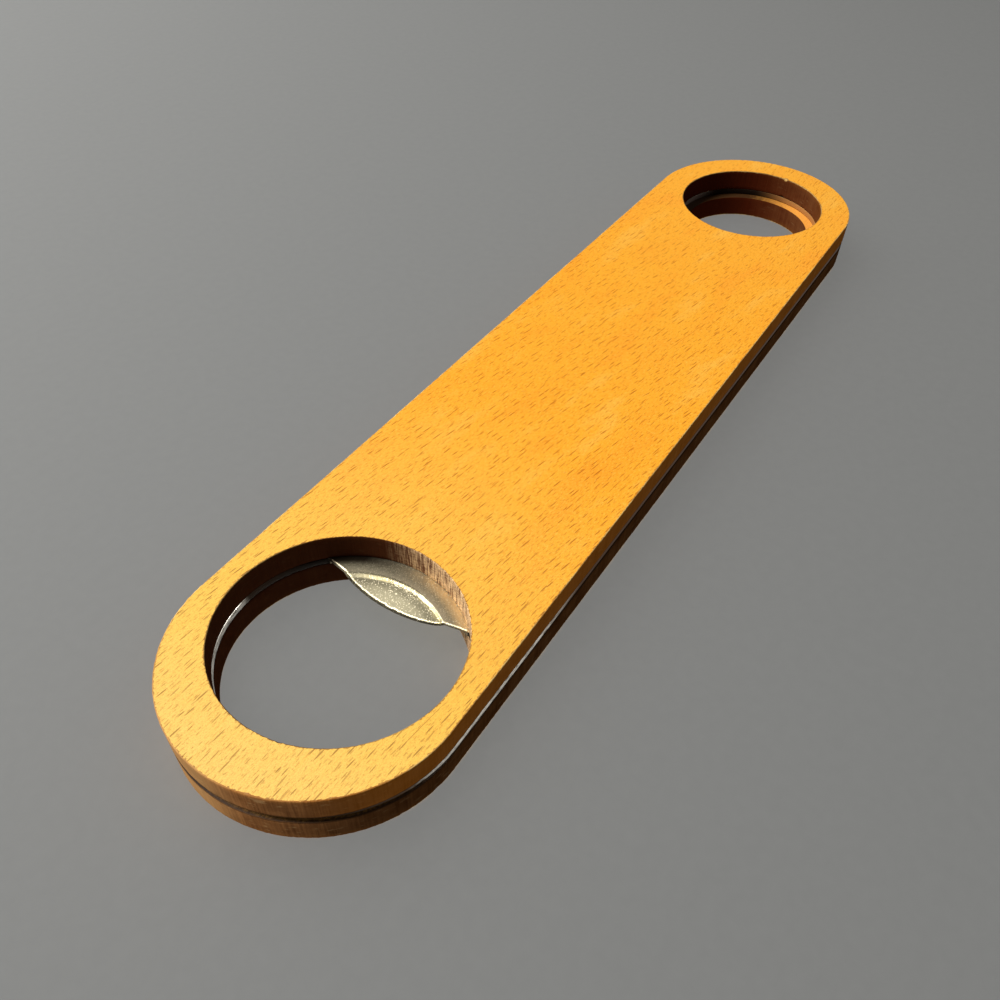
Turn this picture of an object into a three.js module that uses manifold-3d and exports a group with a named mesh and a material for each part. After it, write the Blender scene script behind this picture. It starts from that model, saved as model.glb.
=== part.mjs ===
// Laminated wooden bottle opener: a full-length stainless bar blade glued between two beech scales.
//
// Frame, in millimetres: the opener lies flat on its lower scale, +Z up, origin at the middle of its length and
// width on the surface it rests on. +X runs along the length, from the opener head to the hanging hole.

import * as THREE from 'three';
import { mergeVertices } from 'three/addons/utils/BufferGeometryUtils.js';
import Module from 'manifold-3d';

const wasm = await Module();
wasm.setup();

// ---------- driving dimensions ----------

const LENGTH = 180;
const WIDTH = 40;
const SCALE_THICKNESS = 3.9;        // each wooden scale
const FILM_THICKNESS = 0.1;         // each glue layer
const BLADE_THICKNESS = 1.0;

const CAP_HOLE_SETBACK = 23.8;      // from the head's tip to the cap hole's centre
const CAP_HOLE_RADIUS = 16.5;
const HANGING_HOLE_SETBACK = 20;    // from the tail's tip to the hanging hole's centre
const HANGING_HOLE_RADIUS = 14.25;  // upper scale and blade
const LEDGE_HOLE_RADIUS = 12.5;     // lower scale, which leaves a ledge

const BLADE_SIDE_INSET = 0.1;       // the blade is nearly flush with the wood along its sides
const BLADE_END_INSET = 0.6;        // and a little short of it at both ends, which leaves a groove
const FILM_INSET = 0.4;             // the glue stops this far inside the blade's edges and holes

// The tab that lifts the cap, measured from the cap hole's centre towards the tail.
const TAB_EDGE_AT_RIM = 11.5;       // where the flat part's edge meets the hole's rim
const TAB_EDGE_AT_LIP = 10.9;       // where it meets the lip
const LIP_REACH = 9.55;             // the lip's front edge, on the centre line
const LIP_HALF_WIDTH = 8.4;
const LIP_SHOULDER_Y = 5;           // how far out the front edge stays nearly square
const LIP_BEND_RADIUS = 13.6;       // the lip is pressed down inside this circle
const LIP_STEP_WIDTH = 0.75;        // radial width of the pressed step
const LIP_STEP_DROP = 0.3;
const LIP_FRONT_DROP = 1.0;         // drop of the lip's front edge on the centre line
const LIP_EDGE_THICKNESS = 0.6;     // the lip thins towards its front
const LIP_OVERLAP = 0.4;            // how far the pressed ring runs back into the flat part

const END_SEGMENTS = 48;            // facets of each round end
const HOLE_SEGMENTS = 96;           // facets of each hole

// ---------- derived places ----------

const CAP_X = -LENGTH / 2 + CAP_HOLE_SETBACK;
const HANGING_X = LENGTH / 2 - HANGING_HOLE_SETBACK;

const LOWER_FILM_Z = SCALE_THICKNESS;
const BLADE_Z = LOWER_FILM_Z + FILM_THICKNESS;
const UPPER_FILM_Z = BLADE_Z + BLADE_THICKNESS;
const TOP_SCALE_Z = UPPER_FILM_Z + FILM_THICKNESS;

// ---------- materials ----------

const beech = new THREE.MeshStandardMaterial({ color: 0xe8a548, roughness: 0.6, metalness: 0 });
const stainless = new THREE.MeshStandardMaterial({ color: 0xb8b2a4, roughness: 0.35, metalness: 1 });
const adhesive = new THREE.MeshStandardMaterial({ color: 0x3a2c1e, roughness: 0.5, metalness: 0 });

// ---------- solids ----------

function toManifold(geometry) {
  const bare = geometry.clone();
  bare.deleteAttribute('normal');
  bare.deleteAttribute('uv');
  const merged = mergeVertices(bare, 1e-5);
  return new wasm.Manifold(new wasm.Mesh({
    numProp: 3,
    vertProperties: new Float32Array(merged.attributes.position.array),
    triVerts: new Uint32Array(merged.index.array),
  }));
}

function toMesh(name, solid, material) {
  const { vertProperties, triVerts } = solid.getMesh();
  const geometry = new THREE.BufferGeometry();
  geometry.setAttribute('position', new THREE.BufferAttribute(vertProperties, 3));
  geometry.setIndex(new THREE.BufferAttribute(triVerts, 1));
  geometry.computeVertexNormals();
  const mesh = new THREE.Mesh(geometry, material);
  mesh.name = name;
  return mesh;
}

function extrude(shape, depth, curveSegments) {
  return new THREE.ExtrudeGeometry(shape, { depth, bevelEnabled: false, curveSegments });
}

// A straight-sided bar with round ends, inset from the opener's outline.
function barSolid(thickness, sideInset, endInset) {
  const radius = WIDTH / 2 - sideInset;
  const straight = LENGTH / 2 - endInset - radius;
  const shape = new THREE.Shape();
  shape.absarc(straight, 0, radius, -Math.PI / 2, Math.PI / 2, false);
  shape.absarc(-straight, 0, radius, Math.PI / 2, 3 * Math.PI / 2, false);
  shape.closePath();
  return toManifold(extrude(shape, thickness, END_SEGMENTS));
}

function drill(x, radius, thickness) {
  const clearance = 1;
  const geometry = new THREE.CylinderGeometry(radius, radius, thickness + 2 * clearance, HOLE_SEGMENTS);
  geometry.rotateX(Math.PI / 2);
  geometry.translate(x, 0, thickness / 2);
  return toManifold(geometry);
}

function drilledBar(thickness, sideInset, endInset, capRadius, hangingRadius) {
  return barSolid(thickness, sideInset, endInset)
    .subtract(drill(CAP_X, capRadius, thickness))
    .subtract(drill(HANGING_X, hangingRadius, thickness));
}

// The flat part of the tab: the slice of the cap hole that stays filled, less the circle the lip is pressed from.
function tabFlat() {
  const root = CAP_HOLE_RADIUS + 0.6;
  const rimY = Math.sqrt(CAP_HOLE_RADIUS ** 2 - TAB_EDGE_AT_RIM ** 2);
  const shape = new THREE.Shape();
  shape.moveTo(root, -rimY);
  shape.lineTo(root, rimY);
  shape.lineTo(TAB_EDGE_AT_RIM, rimY);
  shape.lineTo(TAB_EDGE_AT_LIP, LIP_HALF_WIDTH);
  shape.lineTo(TAB_EDGE_AT_LIP, -LIP_HALF_WIDTH);
  shape.lineTo(TAB_EDGE_AT_RIM, -rimY);
  shape.closePath();
  const slice = toManifold(extrude(shape, BLADE_THICKNESS, 1));
  return slice.subtract(drill(0, LIP_BEND_RADIUS + LIP_OVERLAP / 2, BLADE_THICKNESS));
}

// The lip's section, turned about the cap hole's centre: level at the bend circle, a pressed step, then a gentle
// slope down to the front. It runs on past the bend to overlap the flat part.
function dishedRing() {
  const inner = LIP_REACH - 1;
  const stepEnd = LIP_BEND_RADIUS - LIP_STEP_WIDTH;
  const slope = (LIP_FRONT_DROP - LIP_STEP_DROP) / (stepEnd - LIP_REACH);
  const innerDrop = LIP_STEP_DROP + slope * (stepEnd - inner);
  const top = BLADE_THICKNESS;
  const profile = [
    new THREE.Vector2(inner, top - innerDrop - LIP_EDGE_THICKNESS),
    new THREE.Vector2(stepEnd - 0.2, -LIP_STEP_DROP),
    new THREE.Vector2(LIP_BEND_RADIUS - 0.2, 0),
    new THREE.Vector2(LIP_BEND_RADIUS + LIP_OVERLAP, 0),
    new THREE.Vector2(LIP_BEND_RADIUS + LIP_OVERLAP, top),
    new THREE.Vector2(LIP_BEND_RADIUS, top),
    new THREE.Vector2(stepEnd, top - LIP_STEP_DROP),
    new THREE.Vector2(inner, top - innerDrop),
    new THREE.Vector2(inner, top - innerDrop - LIP_EDGE_THICKNESS),
  ];
  const geometry = new THREE.LatheGeometry(profile, HOLE_SEGMENTS);
  geometry.rotateX(Math.PI / 2);
  return toManifold(geometry);
}

// The lip's outline from above: a front edge that bows forward, open-ended towards the tail.
function lipOutline() {
  const height = 6;
  const back = CAP_HOLE_RADIUS;
  const shoulder = (4 * LIP_REACH - TAB_EDGE_AT_LIP) / 3;   // puts the curve's middle at LIP_REACH
  const shape = new THREE.Shape();
  shape.moveTo(back, -LIP_HALF_WIDTH);
  shape.lineTo(back, LIP_HALF_WIDTH);
  shape.lineTo(TAB_EDGE_AT_LIP, LIP_HALF_WIDTH);
  shape.bezierCurveTo(
    shoulder, LIP_SHOULDER_Y,
    shoulder, -LIP_SHOULDER_Y,
    TAB_EDGE_AT_LIP, -LIP_HALF_WIDTH,
  );
  shape.closePath();
  const geometry = extrude(shape, height, HOLE_SEGMENTS / 4);
  geometry.translate(0, 0, BLADE_THICKNESS - height / 2);
  return toManifold(geometry);
}

function bladeSolid() {
  const plate = drilledBar(
    BLADE_THICKNESS,
    BLADE_SIDE_INSET,
    BLADE_END_INSET,
    CAP_HOLE_RADIUS,
    HANGING_HOLE_RADIUS,
  );
  const tab = tabFlat().add(dishedRing().intersect(lipOutline()));
  return plate.add(tab.translate([CAP_X, 0, 0]));
}

// ---------- assembly ----------

const scaleTop = drilledBar(SCALE_THICKNESS, 0, 0, CAP_HOLE_RADIUS, HANGING_HOLE_RADIUS);
const scaleBottom = drilledBar(SCALE_THICKNESS, 0, 0, CAP_HOLE_RADIUS, LEDGE_HOLE_RADIUS);
const film = drilledBar(
  FILM_THICKNESS,
  BLADE_SIDE_INSET + FILM_INSET,
  BLADE_END_INSET + FILM_INSET,
  CAP_HOLE_RADIUS + FILM_INSET,
  HANGING_HOLE_RADIUS + FILM_INSET,
);

const opener = new THREE.Group();

function place(name, solid, material, z) {
  const mesh = toMesh(name, solid, material);
  mesh.position.z = z;
  opener.add(mesh);
}

place('bottom_scale', scaleBottom, beech, 0);
place('lower_adhesive_film', film, adhesive, LOWER_FILM_Z);
place('opener_blade', bladeSolid(), stainless, BLADE_Z);
place('upper_adhesive_film', film, adhesive, UPPER_FILM_Z);
place('top_scale', scaleTop, beech, TOP_SCALE_Z);

export default opener;
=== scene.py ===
"""Looks for the laminated wooden bottle opener: laser-cut beech scales glued to a stainless bar blade.

The pieces and their materials are worked out in millimetres, and meshes are scaled to metres when they
are made. The floor and the lamps are placed in metres.
"""

import math

import bpy
from mathutils import Matrix, Vector, noise
from mathutils.geometry import delaunay_2d_cdt


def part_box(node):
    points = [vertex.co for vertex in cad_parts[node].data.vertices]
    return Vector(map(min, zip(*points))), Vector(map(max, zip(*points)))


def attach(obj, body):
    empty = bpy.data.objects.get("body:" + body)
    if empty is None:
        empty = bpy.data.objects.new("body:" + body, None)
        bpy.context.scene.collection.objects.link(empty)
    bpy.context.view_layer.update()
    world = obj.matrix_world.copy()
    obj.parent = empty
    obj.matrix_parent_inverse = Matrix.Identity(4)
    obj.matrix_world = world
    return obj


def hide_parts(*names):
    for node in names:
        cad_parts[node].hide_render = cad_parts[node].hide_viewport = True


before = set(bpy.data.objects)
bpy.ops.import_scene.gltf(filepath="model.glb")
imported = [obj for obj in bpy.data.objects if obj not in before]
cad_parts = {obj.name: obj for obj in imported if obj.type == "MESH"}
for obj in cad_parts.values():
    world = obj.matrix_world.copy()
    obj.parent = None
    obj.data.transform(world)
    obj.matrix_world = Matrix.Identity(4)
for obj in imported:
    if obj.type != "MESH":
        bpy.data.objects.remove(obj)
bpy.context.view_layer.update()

MM = 0.001

# ---------- places and sizes, from the frame where it gives them ----------


def box_mm(node):
    low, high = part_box(node)
    return low / MM, high / MM


TOP_LOW, TOP_HIGH = box_mm("top_scale")
BOTTOM_LOW, BOTTOM_HIGH = box_mm("bottom_scale")
_, BLADE_HIGH = box_mm("opener_blade")
_, LOWER_FILM_HIGH = box_mm("lower_adhesive_film")

HALF_LENGTH = TOP_HIGH.x
HALF_WIDTH = TOP_HIGH.y
BLADE_TOP_Z = BLADE_HIGH.z
BLADE_BOTTOM_Z = LOWER_FILM_HIGH.z      # not the blade's own box, which the pressed lip deepens
BLADE_HALF_LENGTH = BLADE_HIGH.x
BLADE_HALF_WIDTH = BLADE_HIGH.y

CAP_SETBACK = 23.8          # from the head's tip to the cap hole's centre
CAP_X = -HALF_LENGTH + CAP_SETBACK
CAP_RADIUS = 16.5
HANGING_SETBACK = 20.0      # from the tail's tip to the hanging hole's centre
HANGING_X = HALF_LENGTH - HANGING_SETBACK
HANGING_RADIUS = 14.25      # upper scale and blade
LEDGE_RADIUS = 12.5         # lower scale, which leaves a ledge

# The tab and its lip, measured from the cap hole's centre towards the tail.
TAB_EDGE_AT_RIM = 11.5      # where the tab's free edge meets the hole's rim
TAB_EDGE_AT_LIP = 10.9      # where it meets the lip
LIP_REACH = 9.55            # the lip's front edge, on the centre line
LIP_HALF_WIDTH = 8.4
LIP_SHOULDER_Y = 5.0        # how far out the front edge stays nearly square
LIP_BEND_RADIUS = 13.6      # the lip is pressed down inside this circle
LIP_STEP_WIDTH = 0.75       # radial width of the pressed step
LIP_STEP_DROP = 0.27
LIP_FRONT_DROP = 1.0        # drop of the lip's front edge on the centre line
LIP_CORNER = 1.4            # the pressed step dies out over this width at the lip's two corners
LIP_CORNER_Y = 8.8          # and is gone this far out from the centre line
LIP_BEND_SKEW = 0.02        # the bend runs a little askew across the tab
LIP_BEND_WANDER = 0.05      # wavers by this much along its length
LIP_WIDTH_SKEW = 0.03       # and is broader towards +y
TAB_EDGE_THICKNESS = 0.26   # the tab thins to this at its free edge
TAB_THINNING = 2.2          # over this width
TAB_THINNING_FADE = 0.8     # and the thinning fades out over this width towards the hole's rim

WALL_SPACING = 0.22         # between neighbouring points along a laser-cut wall
BLADE_SPACING = 0.3
LIP_SPACING = 0.18
TAB_POINTS_PAST_RIM = 1.5   # the fine points on the tab run on past the cap hole's rim by this much
TAB_POINTS_INSET = 0.12     # and stay this far clear of the tab's rolled edge
BEND_MARGIN = 0.2           # the finest points reach this far to either side of the pressed step


# ---------- outlines: lists of (point, outward normal) around a piece, seen from above ----------


def arc_points(centre_x, radius, start, end, spacing, into_hole=False):
    steps = max(8, round(abs(end - start) * radius / spacing))
    points = []
    for i in range(steps):
        angle = start + (end - start) * i / steps
        ray = Vector((math.cos(angle), math.sin(angle)))
        spot = Vector((centre_x, 0.0)) + ray * radius
        points.append((spot, -ray if into_hole else ray))
    return points


def line_points(start, end, spacing):
    run = end - start
    steps = max(1, round(run.length / spacing))
    normal = Vector((run.y, -run.x)).normalized()
    return [(start + run * i / steps, normal) for i in range(steps)]


def bar_outline(half_length, half_width, spacing):
    """A straight-sided bar with round ends, anticlockwise."""
    straight = half_length - half_width
    quarter = math.pi / 2
    points = line_points(Vector((-straight, -half_width)), Vector((straight, -half_width)), spacing)
    points += arc_points(straight, half_width, -quarter, quarter, spacing)
    points += line_points(Vector((straight, half_width)), Vector((-straight, half_width)), spacing)
    points += arc_points(-straight, half_width, quarter, 3 * quarter, spacing)
    return points


def hole_outline(centre_x, radius, spacing):
    """A round hole, clockwise, with normals that point into it."""
    return arc_points(centre_x, radius, 2 * math.pi, 0.0, spacing, into_hole=True)


def lip_front(t):
    """The lip's front edge, a Bezier curve from its -y end to its +y end."""
    shoulder = (4 * LIP_REACH - TAB_EDGE_AT_LIP) / 3
    a, b, c, d = (1 - t) ** 3, 3 * t * (1 - t) ** 2, 3 * t * t * (1 - t), t ** 3
    x = (a + d) * TAB_EDGE_AT_LIP + (b + c) * shoulder
    y = (d - a) * LIP_HALF_WIDTH + (c - b) * LIP_SHOULDER_Y
    return Vector((CAP_X + x, y))


RIM_Y = math.sqrt(CAP_RADIUS ** 2 - TAB_EDGE_AT_RIM ** 2)       # where the tab's free edge meets the rim


def cap_hole_with_tab():
    """The blade's cap hole, clockwise: the round rim, then the tab's edge and the lip."""
    rim_angle = math.atan2(RIM_Y, TAB_EDGE_AT_RIM)
    start = 2 * math.pi - rim_angle
    points = arc_points(CAP_X, CAP_RADIUS, start, rim_angle, BLADE_SPACING, into_hole=True)
    at_rim = Vector((CAP_X + TAB_EDGE_AT_RIM, RIM_Y))
    at_lip = Vector((CAP_X + TAB_EDGE_AT_LIP, LIP_HALF_WIDTH))
    corners = [at_rim, at_lip]
    edge = line_points(corners[0], corners[1], LIP_SPACING)
    steps = round(2.2 * LIP_HALF_WIDTH / LIP_SPACING)
    front = [lip_front(1 - i / steps) for i in range(steps + 1)]
    for i, spot in enumerate(front[:-1]):
        edge += line_points(spot, front[i + 1], 10.0)
    mirror = [Vector((c.x, -c.y)) for c in reversed(corners)]
    edge += line_points(mirror[0], mirror[1], LIP_SPACING)
    return points + [(spot, -normal) for spot, normal in edge]


def tab_front(y):
    """How far from the cap hole's centre, along the opener, the tab's free edge lies at one y."""
    y = abs(y)
    if y > LIP_HALF_WIDTH:
        rise = TAB_EDGE_AT_RIM - TAB_EDGE_AT_LIP
        return TAB_EDGE_AT_LIP + rise * (y - LIP_HALF_WIDTH) / (RIM_Y - LIP_HALF_WIDTH)
    low, high = 0.5, 1.0        # the curve's +y half, searched by halving
    for _ in range(24):
        middle = (low + high) / 2
        if lip_front(middle).y < y:
            low = middle
        else:
            high = middle
    return lip_front(low).x - CAP_X


def smooth_normals(outline):
    """Normals averaged with their neighbours, so corners don't fold the rounded edge over itself."""
    count = len(outline)
    result = []
    for i, (spot, normal) in enumerate(outline):
        total = outline[i - 1][1] + 2 * normal + outline[(i + 1) % count][1]
        result.append((spot, total.normalized()))
    return result


# ---------- meshes ----------


def new_mesh_object(name, verts, faces, materials, face_slots, smooth):
    mesh = bpy.data.meshes.new(name)
    mesh.from_pydata([tuple(v * MM for v in p) for p in verts], [], faces)
    for material in materials:
        mesh.materials.append(material)
    mesh.polygons.foreach_set("material_index", face_slots)
    mesh.polygons.foreach_set("use_smooth", smooth)
    mesh.update()
    piece = bpy.data.objects.new(name, mesh)
    bpy.context.scene.collection.objects.link(piece)
    return piece


def triangle_sides(triangle):
    return [tuple(sorted((triangle[i], triangle[i - 1]))) for i in range(3)]


def kept_triangles(triangles, walls):
    """The triangles inside the border rings: crossing a border edge leads in, or out again."""
    beside = {}
    for number, triangle in enumerate(triangles):
        for side in triangle_sides(triangle):
            beside.setdefault(side, []).append(number)
    within = {}
    for side, numbers in beside.items():
        if len(numbers) == 1:
            within[numbers[0]] = side in walls
            break
    waiting = list(within)
    while waiting:
        number = waiting.pop()
        for side in triangle_sides(triangles[number]):
            for other in beside[side]:
                if other not in within:
                    within[other] = within[number] != (side in walls)
                    waiting.append(other)
    return [triangle for number, triangle in enumerate(triangles) if within[number]]


class Plate:
    """A flat piece with holes: rings of points down every edge, and the two faces filled between them."""

    def __init__(self):
        self.verts = []
        self.faces = []
        self.slots = []
        self.smooth = []
        self.first_rings = []
        self.last_rings = []

    def add_face(self, corners, slot, smooth):
        self.faces.append(corners)
        self.slots.append(slot)
        self.smooth.append(smooth)

    def add_wall(self, rings, slot):
        """Rings run from the upper face's border down to the lower face's border."""
        count = len(rings[0])
        starts = []
        for ring in rings:
            starts.append(len(self.verts))
            self.verts.extend(ring)
        for upper, lower in zip(starts, starts[1:]):
            for i in range(count):
                j = (i + 1) % count
                self.add_face((upper + i, lower + i, lower + j, upper + j), slot, True)
        self.first_rings.append(range(starts[0], starts[0] + count))
        self.last_rings.append(range(starts[-1], starts[-1] + count))

    def fill(self, rings, slot, upward, inner_points=(), height=None):
        """Triangles between border rings; inner_points add (x, y) detail whose z comes from height."""
        index = [i for ring in rings for i in ring]
        flat = [Vector(self.verts[i][:2]) for i in index] + [Vector(p) for p in inner_points]
        borders = []
        start = 0
        for ring in rings:
            count = len(ring)
            borders += [(start + i, start + (i + 1) % count) for i in range(count)]
            start += count
        _, edges, triangles, origins, sources, _ = delaunay_2d_cdt(flat, borders, [], 0, 1e-6)
        walls = {tuple(sorted(edge)) for edge, source in zip(edges, sources) if source}
        index += [None] * len(inner_points)
        for triangle in kept_triangles(triangles, walls):
            corners = []
            for i in triangle:
                k = origins[i][0]
                if index[k] is None:
                    index[k] = len(self.verts)
                    x, y = flat[k]
                    self.verts.append((x, y, height(x, y)))
                corners.append(index[k])
            if not upward:
                corners.reverse()
            self.add_face(tuple(corners), slot, bool(inner_points))

    def make(self, name, materials):
        return new_mesh_object(name, self.verts, self.faces, materials, self.slots, self.smooth)


# ---------- the laser-cut beech scales ----------

KERF_DEPTH = 0.035          # how far the cut wall's ridges and hollows run in from the outline
RIM_ARRIS = 0.14            # mean rounding of a scale's outer edge
HOLE_ARRIS = 0.09           # and of a hole's edge
GLUED_ARRIS = 0.04          # and of any edge against the glue


def ridges(x, y, z, seed):
    """0 to 1: the upright ridges a laser leaves in a cut wall, which barely change with depth."""
    fine = noise.noise(Vector((x / 0.42, y / 0.42, z / 9.0 + seed)))
    broad = noise.noise(Vector((x / 2.3, y / 2.3, z / 4.0 + 2 * seed)))
    return min(max(0.5 + 0.55 * fine + 0.45 * broad, 0.0), 1.0)


NICK = Vector((HANGING_X + 14.07, -2.23))   # a chip knocked out of the hanging hole's rim
NICK_SIZE = 0.42
NICK_DEPTH = 0.45
CHIP_LEVEL = 0.38           # chips start where their noise rises above this


def ragged_arris(x, y, arris, seed):
    """The rounding of a scorched edge at one point: uneven, with a few small chips and the nick."""
    nick = NICK_DEPTH * math.exp(-((Vector((x, y)) - NICK).length / NICK_SIZE) ** 2)
    fine = noise.noise(Vector((x / 0.5, y / 0.5, seed)))
    chips = noise.noise(Vector((x / 1.7, y / 1.7, seed + 40.0)))
    return arris * (1.0 + 0.8 * fine + 2.2 * max(chips - CHIP_LEVEL, 0.0)) + nick


def wall_rings(outline, low, high, arrises, seed):
    """Rings down a laser-cut wall, all on or inside the outline; arrises are (upper, lower)."""
    rings = []
    tops = [ragged_arris(p.x, p.y, arrises[0], seed) for p, _ in outline]
    bottoms = [ragged_arris(p.x, p.y, arrises[1], seed + 11.0) for p, _ in outline]
    corner = 1 - math.sqrt(0.5)
    levels = [(1.0, 0.0), (corner, corner), (0.0, 1.0)]
    steps = 6

    def ring(inset_of, z_of):
        points = []
        for i, (spot, normal) in enumerate(outline):
            z = z_of(i)
            depth = KERF_DEPTH * ridges(spot.x, spot.y, z, seed) + inset_of(i)
            place = spot - normal * depth
            points.append((place.x, place.y, z))
        return points

    for inward, down in levels:
        rings.append(ring(lambda i: tops[i] * inward, lambda i: high - tops[i] * down))
    for k in range(1, steps):
        z = high + (low - high) * k / steps
        rings.append(ring(lambda i: 0.0, lambda i: z))
    for inward, down in reversed(levels):
        rings.append(ring(lambda i: bottoms[i] * inward, lambda i: low + bottoms[i] * down))
    return rings


def build_scale(name, low, high, hanging_radius, seed, materials):
    """One scale. Its materials are the open face's, the cut walls' and the glued face's."""
    plate = Plate()
    outlines = [
        (bar_outline(HALF_LENGTH, HALF_WIDTH, WALL_SPACING), RIM_ARRIS),
        (hole_outline(CAP_X, CAP_RADIUS, WALL_SPACING), HOLE_ARRIS),
        (hole_outline(HANGING_X, hanging_radius, WALL_SPACING), HOLE_ARRIS),
    ]
    open_side_up = low > BLADE_BOTTOM_Z
    for outline, arris in outlines:
        arrises = (arris, GLUED_ARRIS) if open_side_up else (GLUED_ARRIS, arris)
        plate.add_wall(wall_rings(outline, low, high, arrises, seed), 1)

    plate.fill(plate.first_rings, 0 if open_side_up else 2, True)
    plate.fill(plate.last_rings, 2 if open_side_up else 0, False)
    return plate.make(name, materials)


# ---------- the steel blade ----------

# How far in and how far down the blade's edges are rounded.
BLADE_ARRIS = (0.1, 0.1)
OUTER_ARRIS = (0.2, 0.28)       # round the opener the upper edge is polished rounder
TAB_ROLLOVER = (0.23, 0.12)     # and along the tab's free edge it is rolled over
TAB_LOWER_ARRIS = 0.04          # below, the tab's free edge is nearly sharp
FREE_EDGE_MARGIN = 0.15         # how far inside the cap hole's rim the tab's free edge is taken to start


def ease(t):
    t = min(max(t, 0.0), 1.0)
    return t * t * (3 - 2 * t)


def lip_drop(x, y):
    """How far the pressed lip lies below the blade at one place."""
    radius = math.hypot(x - CAP_X, y)
    wander = LIP_BEND_WANDER * noise.noise(Vector((x / 0.9, y / 0.9, 5.0)))
    bend = LIP_BEND_RADIUS - LIP_BEND_SKEW * y + wander
    if radius >= bend or x < CAP_X:
        return 0.0
    width = LIP_STEP_WIDTH + LIP_WIDTH_SKEW * y
    slope = (LIP_FRONT_DROP - LIP_STEP_DROP) / (bend - width - LIP_REACH)
    fading = ease((LIP_CORNER_Y - abs(y)) / LIP_CORNER)
    step = LIP_STEP_DROP * ease((bend - radius) / width)
    return fading * (step + slope * max(bend - width - radius, 0.0))


def blade_top(x, y):
    return BLADE_TOP_Z - lip_drop(x, y)


def blade_bottom(x, y):
    thin = 0.0
    if x > CAP_X + LIP_REACH / 2 and abs(y) < RIM_Y and math.hypot(x - CAP_X, y) < CAP_RADIUS:
        full = BLADE_TOP_Z - BLADE_BOTTOM_Z - TAB_EDGE_THICKNESS
        inward = min(x - CAP_X - tab_front(y), TAB_THINNING)
        to_rim = min((CAP_RADIUS - math.hypot(x - CAP_X, y)) / TAB_THINNING_FADE, 1.0)
        thin = full * ease(1.0 - inward / TAB_THINNING) * ease(to_rim)
    return BLADE_BOTTOM_Z - lip_drop(x, y) + thin


def is_free_edge(p):
    """Whether an outline point of the blade is on the tab's free edge."""
    return p.x > CAP_X + LIP_REACH / 2 and math.hypot(p.x - CAP_X, p.y) < CAP_RADIUS - FREE_EDGE_MARGIN


def blade_rings(outline, arris):
    turns = [math.radians(22.5 * k) for k in range(5)]
    levels = [(1 - math.sin(t), 1 - math.cos(t)) for t in turns]
    sizes = [TAB_ROLLOVER if is_free_edge(p) else arris for p, _ in outline]
    lowers = [TAB_LOWER_ARRIS if is_free_edge(p) else BLADE_ARRIS[0] for p, _ in outline]
    rings = []

    def ring(inset_of, z_of):
        points = []
        for i, (spot, normal) in enumerate(outline):
            place = spot - normal * inset_of(i)
            points.append((place.x, place.y, z_of(i, place)))
        return points

    for inward, down in levels:
        rings.append(ring(
            lambda i: sizes[i][0] * inward,
            lambda i, p: blade_top(p.x, p.y) - sizes[i][1] * down,
        ))
    for inward, up in reversed(levels):
        rings.append(ring(
            lambda i: lowers[i] * inward,
            lambda i, p: blade_bottom(p.x, p.y) + lowers[i] * up,
        ))
    return rings


def tab_points():
    """Places on the tab, in arcs round the cap hole, close together where the lip bends down."""
    points = []
    radius = LIP_REACH
    while radius < CAP_RADIUS + TAB_POINTS_PAST_RIM:
        step_start = LIP_BEND_RADIUS - LIP_STEP_WIDTH
        bending = step_start - BEND_MARGIN < radius < LIP_BEND_RADIUS + BEND_MARGIN
        radius += LIP_SPACING / 2 if bending else LIP_SPACING
        steps = round(radius / LIP_SPACING)
        for i in range(-steps, steps + 1):
            angle = i / steps
            x, y = radius * math.cos(angle), radius * math.sin(angle)
            if abs(y) < RIM_Y and x > tab_front(y) + TAB_ROLLOVER[0] + TAB_POINTS_INSET:
                points.append((CAP_X + x, y))
    return points


def build_blade(materials):
    plate = Plate()
    outlines = [
        (bar_outline(BLADE_HALF_LENGTH, BLADE_HALF_WIDTH, BLADE_SPACING), OUTER_ARRIS),
        (smooth_normals(cap_hole_with_tab()), BLADE_ARRIS),
        (hole_outline(HANGING_X, HANGING_RADIUS, BLADE_SPACING), BLADE_ARRIS),
    ]
    for outline, arris in outlines:
        plate.add_wall(blade_rings(outline, arris), 1)

    detail = tab_points()
    plate.fill(plate.first_rings, 0, True, detail, blade_top)
    plate.fill(plate.last_rings, 0, False, detail, blade_bottom)
    return plate.make("opener_blade_finished", materials)


# ---------- materials ----------


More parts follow.
